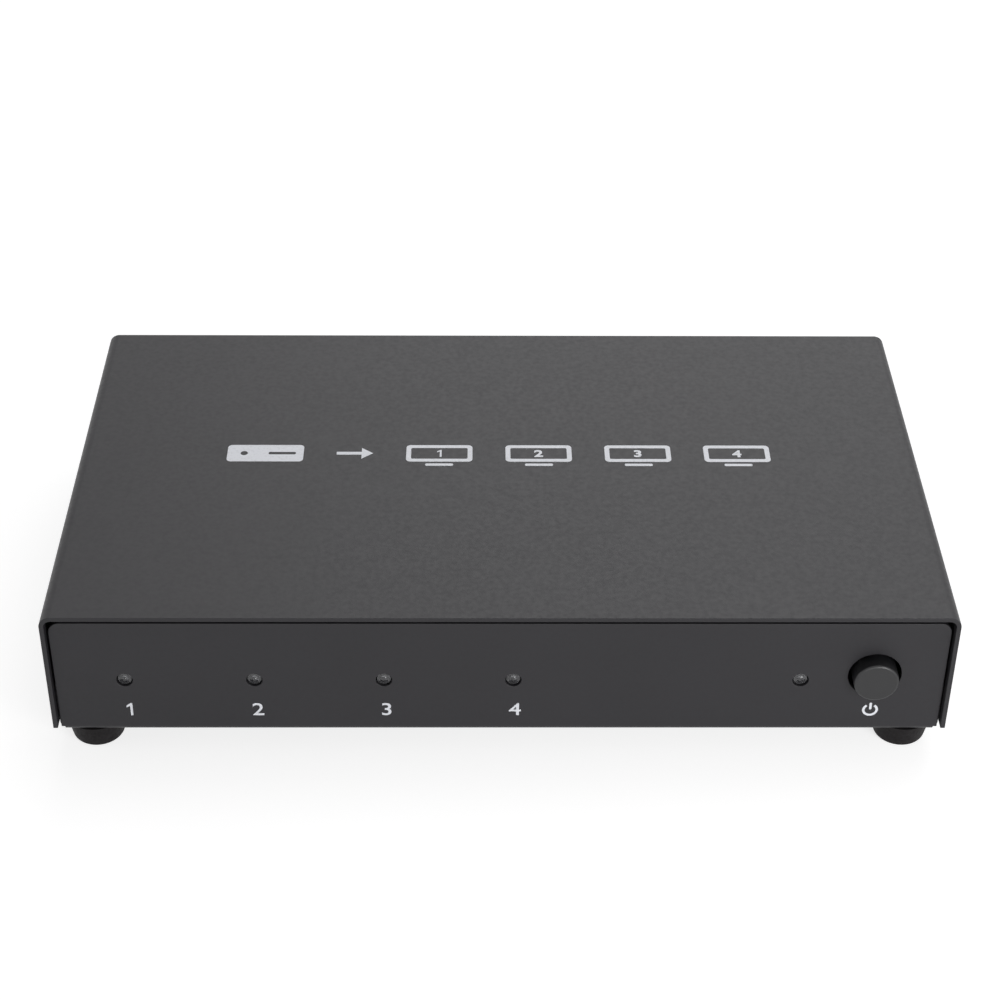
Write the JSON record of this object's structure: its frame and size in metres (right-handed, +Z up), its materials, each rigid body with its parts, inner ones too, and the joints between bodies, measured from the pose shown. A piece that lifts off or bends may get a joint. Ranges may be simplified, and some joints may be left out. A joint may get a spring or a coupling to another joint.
{
  "type": "hdmi splitter",
  "caption": "Low black steel box that copies a video input to several outputs, with port lamps and a power button in front, and sockets and a power inlet behind.",
  "frame": {"origin": "on the surface the feet stand on, at the middle of the overall width and depth", "axes": "+Z up, +X to the right seen from the front, -Y out of the front panel with the button and lamps, +Y out of the rear panel with the sockets"},
  "size_m": [0.19, 0.1116, 0.0377],
  "materials": {
    "case_paint": "fine-textured black powder coat",
    "foot_rubber": "matt moulded rubber",
    "dark_screw": "black plated steel",
    "zinc_screw": "bright zinc plate",
    "standoff_brass": "turned brass",
    "board_laminate": "green solder mask",
    "socket_steel": "tin-plated pressed steel",
    "socket_plastic": "black moulded plastic",
    "contact_gold": "gold flash",
    "jack_plastic": "black moulded plastic",
    "jack_metal": "nickel plate",
    "switch_plastic": "black moulded plastic",
    "plunger_plastic": "white moulded plastic",
    "spring_steel": "bright spring wire",
    "tinned_leads": "tinned copper",
    "button_plastic": "satin black moulded plastic",
    "lamp_lens": "clear epoxy",
    "chip_epoxy": "moulded epoxy",
    "thermal_rubber": "soft grey pad",
    "sink_aluminium": "black anodised extrusion",
    "can_aluminium": "bare drawn can",
    "crystal_can": "nickel-plated can",
    "inductor_ferrite": "grey ferrite",
    "small_ceramic": "fired ceramic"
  },
  "bodies": {
    "case": {"base_tray": "case_paint", "board_screws": "zinc_screw", "board_standoffs": "standoff_brass", "capacitor_bases": "jack_plastic", "cover_screws": "dark_screw", "crystal": "crystal_can", "dc_jack_body": "jack_plastic", "dc_jack_pin": "jack_metal", "dc_jack_spring": "jack_metal", "filter_capacitor_1": "can_aluminium", "filter_capacitor_2": "can_aluminium", "foot_front_left": "foot_rubber", "foot_front_right": "foot_rubber", "foot_rear_left": "foot_rubber", "foot_rear_right": "foot_rubber", "foot_screws": "zinc_screw", "heat_sink": "sink_aluminium", "input_socket_contacts": "contact_gold", "input_socket_shell": "socket_steel", "input_socket_tongue": "socket_plastic", "led_leads": "tinned_leads", "main_board": "board_laminate", "memory_chip": "chip_epoxy", "memory_chip_leads": "tinned_leads", "output_socket_1_contacts": "contact_gold", "output_socket_1_shell": "socket_steel", "output_socket_1_tongue": "socket_plastic", "output_socket_2_contacts": "contact_gold", "output_socket_2_shell": "socket_steel", "output_socket_2_tongue": "socket_plastic", "output_socket_3_contacts": "contact_gold", "output_socket_3_shell": "socket_steel", "output_socket_3_tongue": "socket_plastic", "output_socket_4_contacts": "contact_gold", "output_socket_4_shell": "socket_steel", "output_socket_4_tongue": "socket_plastic", "port_driver_1": "chip_epoxy", "port_driver_2": "chip_epoxy", "port_driver_3": "chip_epoxy", "port_driver_4": "chip_epoxy", "port_led_1": "lamp_lens", "port_led_2": "lamp_lens", "port_led_3": "lamp_lens", "port_led_4": "lamp_lens", "power_inductor": "inductor_ferrite", "power_led": "lamp_lens", "power_switch_body": "switch_plastic", "power_switch_latch_pin": "spring_steel", "power_switch_pins": "tinned_leads", "power_switch_spring": "spring_steel", "regulator_body": "chip_epoxy", "regulator_tab": "tinned_leads", "small_capacitors": "small_ceramic", "small_resistors": "small_ceramic", "splitter_chip": "chip_epoxy", "thermal_pad": "thermal_rubber", "top_cover": "case_paint"},
    "power_button": {"power_button": "button_plastic", "power_switch_plunger": "plunger_plastic"}
  },
  "joints": [
    {"name": "power_button_press", "type": "slide", "parent": "case", "child": "power_button", "axis": [0, 1, 0], "range_m": [0, 0.0025], "stiffness_N_per_m": 700, "springref_m": -0.0015, "deforming": ["power_switch_spring"]}
  ]
}
